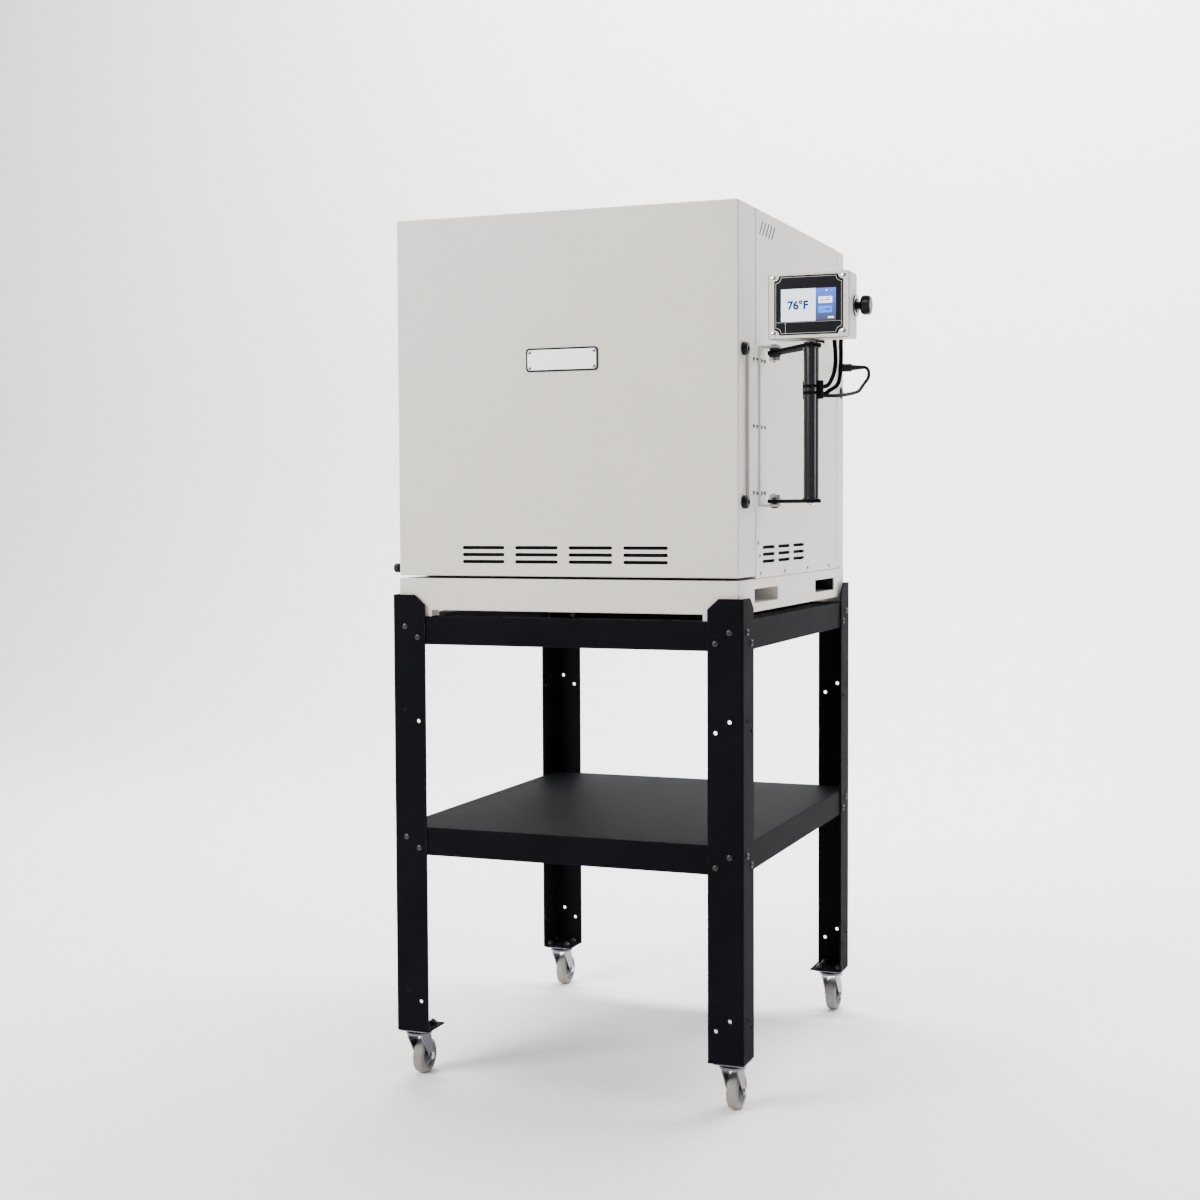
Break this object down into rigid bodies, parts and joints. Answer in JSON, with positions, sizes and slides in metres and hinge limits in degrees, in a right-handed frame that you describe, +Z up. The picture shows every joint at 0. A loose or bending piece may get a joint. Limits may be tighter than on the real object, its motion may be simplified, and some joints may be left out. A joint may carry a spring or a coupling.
{
  "type": "bead annealing kiln",
  "caption": "Front-door bead annealing kiln on a rolling black stand with a shelf, with a touch-screen controller on a swing arm.",
  "frame": {"origin": "centre of the footprint, at floor level under the wheels", "axes": "+Z up, -Y towards the door and the user, +X towards the hinge side with the controller arm"},
  "size_m": [0.8668, 0.7758, 1.5458],
  "materials": {
    "cream_enamel": "satin warm light grey enamel",
    "black_powder_coat": "fine-textured black powder coat",
    "fire_brick": "soft insulating firebrick",
    "ceramic_fibre": "white ceramic fibre board and rope",
    "element_alloy": "oxidised resistance alloy",
    "zinc_plate": "bright zinc plate",
    "grey_rubber": "grey non-marking tread",
    "black_rubber": "black rubber",
    "black_plastic": "black moulded plastic",
    "cast_aluminium": "plain aluminium",
    "porcelain": "glazed porcelain",
    "plate_white": "bare printed plate, left blank"
  },
  "bodies": {
    "root": {"case_shell": "cream_enamel", "door_gasket": "ceramic_fibre", "brick_floor": "fire_brick", "brick_roof": "fire_brick", "brick_left": "fire_brick", "brick_right": "fire_brick", "brick_back": "fire_brick", "insulation_jacket": "ceramic_fibre", "element_left": "element_alloy", "element_right": "element_alloy", "thermocouple": "porcelain", "rear_cover": "cream_enamel", "heat_sink": "cast_aluminium", "solid_state_relay": "black_plastic", "terminal_block": "porcelain", "mains_gland": "black_plastic", "lead_plug": "black_plastic", "body_lead": "black_rubber", "base_plinth": "cream_enamel", "hinge_bracket": "cream_enamel", "leg_front_left": "black_powder_coat", "leg_front_right": "black_powder_coat", "leg_rear_left": "black_powder_coat", "leg_rear_right": "black_powder_coat", "rail_front": "black_powder_coat", "rail_rear": "black_powder_coat", "rail_left": "black_powder_coat", "rail_right": "black_powder_coat", "shelf": "black_powder_coat", "caster_plate_front_left": "zinc_plate", "caster_plate_front_right": "zinc_plate", "caster_plate_rear_left": "zinc_plate", "caster_plate_rear_right": "zinc_plate"},
    "door": {"door_shell": "cream_enamel", "door_insulation": "ceramic_fibre", "door_plug": "fire_brick", "nameplate": "plate_white", "hinge_leaf": "cream_enamel", "bumper_upper": "black_rubber", "bumper_lower": "black_rubber", "door_knob": "black_plastic"},
    "arm": {"arm_plate_upper": "black_powder_coat", "arm_plate_lower": "black_powder_coat", "mast_tube": "black_powder_coat", "lead_boot": "black_rubber"},
    "yoke": {"tilt_yoke": "black_powder_coat", "lead_a": "black_rubber", "lead_b": "black_rubber"},
    "head": {"controller_box": "cream_enamel", "faceplate": "cream_enamel", "display_panel": "black_plastic"},
    "knob": {"tilt_knob": "black_plastic"},
    "fork_front_left": {"caster_fork_front_left": "zinc_plate"},
    "wheel_front_left": {"caster_wheel_front_left": "grey_rubber"},
    "fork_front_right": {"caster_fork_front_right": "zinc_plate"},
    "wheel_front_right": {"caster_wheel_front_right": "grey_rubber"},
    "fork_rear_left": {"caster_fork_rear_left": "zinc_plate"},
    "wheel_rear_left": {"caster_wheel_rear_left": "grey_rubber"},
    "fork_rear_right": {"caster_fork_rear_right": "zinc_plate"},
    "wheel_rear_right": {"caster_wheel_rear_right": "grey_rubber"}
  },
  "joints": [
    {"name": "door_hinge", "type": "hinge", "parent": "root", "child": "door", "pos_m": [0.22156, -0.26782, 1.1718], "axis": [0, 0, 1], "range_deg": [0, 86]},
    {"name": "arm_swing", "type": "hinge", "parent": "root", "child": "arm", "pos_m": [0.24335, -0.24732, 1.1718], "axis": [0, 0, 1], "range_deg": [0, 68.8]},
    {"name": "controller_swivel", "type": "hinge", "parent": "arm", "child": "yoke", "pos_m": [0.33785, -0.35993, 1.3024], "axis": [0, 0, 1], "range_deg": [-60, 30]},
    {"name": "controller_tilt", "type": "hinge", "parent": "yoke", "child": "head", "pos_m": [0.33985, -0.34193, 1.3631], "axis": [1, 0, 0], "range_deg": [-20, 0]},
    {"name": "tilt_knob_turn", "type": "hinge", "parent": "yoke", "child": "knob", "pos_m": [0.40965, -0.34193, 1.3631], "axis": [1, 0, 0], "range_deg": [0, 180]},
    {"name": "swivel_front_left", "type": "hinge", "parent": "root", "child": "fork_front_left", "pos_m": [-0.40064, -0.34682, 0.0779], "axis": [0, 0, 1], "continuous": true},
    {"name": "roll_front_left", "type": "hinge", "parent": "fork_front_left", "child": "wheel_front_left", "pos_m": [-0.40064, -0.32482, 0.03175], "axis": [1, 0, 0], "continuous": true},
    {"name": "swivel_front_right", "type": "hinge", "parent": "root", "child": "fork_front_right", "pos_m": [0.19736, -0.34682, 0.0779], "axis": [0, 0, 1], "continuous": true},
    {"name": "roll_front_right", "type": "hinge", "parent": "fork_front_right", "child": "wheel_front_right", "pos_m": [0.19736, -0.32482, 0.03175], "axis": [1, 0, 0], "continuous": true},
    {"name": "swivel_rear_left", "type": "hinge", "parent": "root", "child": "fork_rear_left", "pos_m": [-0.40064, 0.33418, 0.0779], "axis": [0, 0, 1], "continuous": true},
    {"name": "roll_rear_left", "type": "hinge", "parent": "fork_rear_left", "child": "wheel_rear_left", "pos_m": [-0.40064, 0.35618, 0.03175], "axis": [1, 0, 0], "continuous": true},
    {"name": "swivel_rear_right", "type": "hinge", "parent": "root", "child": "fork_rear_right", "pos_m": [0.19736, 0.33418, 0.0779], "axis": [0, 0, 1], "continuous": true},
    {"name": "roll_rear_right", "type": "hinge", "parent": "fork_rear_right", "child": "wheel_rear_right", "pos_m": [0.19736, 0.35618, 0.03175], "axis": [1, 0, 0], "continuous": true}
  ],
  "couplings": [
    {"joint": "arm_swing", "follows": "door_hinge", "ratio": 0.8}
  ]
}
